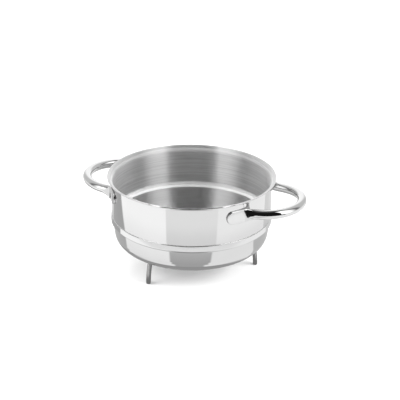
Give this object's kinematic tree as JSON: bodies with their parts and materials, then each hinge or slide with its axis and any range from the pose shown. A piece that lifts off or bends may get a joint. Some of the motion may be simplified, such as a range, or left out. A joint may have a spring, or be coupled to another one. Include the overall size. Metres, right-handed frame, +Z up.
{
  "type": "steamer insert",
  "caption": "Round stainless steel steamer insert with a flared lip, a shoulder that seats on a pot, a perforated base, tube loop handles and short rod legs.",
  "frame": {"origin": "on the vessel's axis, at the height of the soles of the feet", "axes": "+X out through the middle of the right handle, +Y to the back, +Z up"},
  "size_m": [0.3538, 0.254, 0.144],
  "materials": {
    "vessel_steel": "stainless steel, mirror polished outside, brushed round the axis inside",
    "handle_steel": "stainless steel tube, mirror polished",
    "leg_steel": "stainless steel rod, satin drawn"
  },
  "bodies": {
    "root": {"vessel": "vessel_steel", "handle_right": "handle_steel", "handle_left": "handle_steel", "leg_right": "leg_steel", "leg_back": "leg_steel", "leg_front": "leg_steel"}
  },
  "joints": []
}
